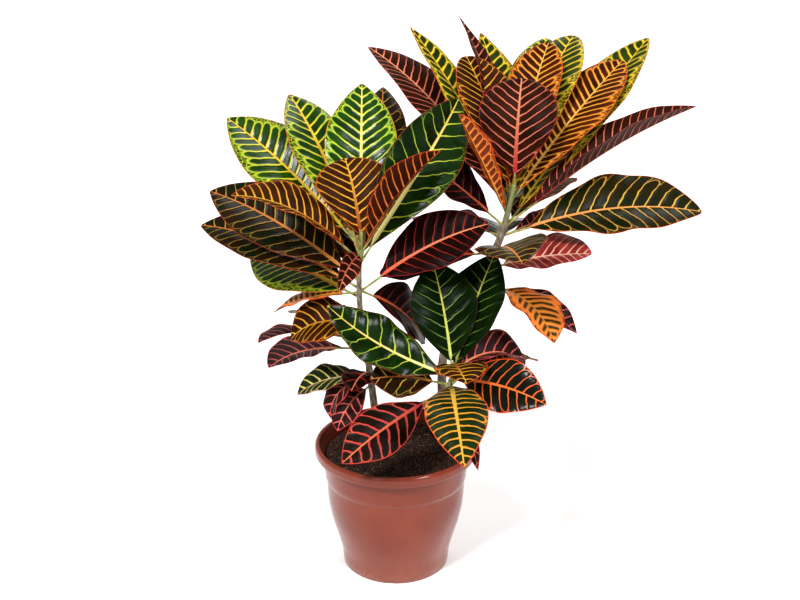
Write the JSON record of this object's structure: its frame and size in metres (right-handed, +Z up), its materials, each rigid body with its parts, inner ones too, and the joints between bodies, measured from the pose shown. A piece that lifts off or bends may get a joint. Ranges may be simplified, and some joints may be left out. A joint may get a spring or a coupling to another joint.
{
  "type": "potted croton",
  "caption": "Croton house plant with broad glossy veined leaves on woody stems, growing in soil in a rolled-rim plastic nursery pot.",
  "frame": {"origin": "centre of the pot's foot, on the surface it stands on", "axes": "+Z up; -Y is the side with the low leafy stem, +X the side that the tall stem leans to"},
  "size_m": [0.575, 0.4752, 0.6222],
  "materials": {
    "pot_plastic": "glossy moulded terracotta-coloured polypropylene",
    "potting_soil": "moist dark peat with fibres and pale specks",
    "leaves_yellow_green": "glossy leaf, yellow veins and margin",
    "leaves_orange_brown": "glossy leaf, orange veins and margin",
    "leaves_dark_green": "glossy leaf, pale green and red veins"
  },
  "bodies": {
    "root": {"pot": "pot_plastic", "soil": "potting_soil", "leafy_stem_left": "leaves_yellow_green", "leafy_stem_right": "leaves_orange_brown", "leafy_stem_low": "leaves_dark_green"}
  },
  "joints": []
}
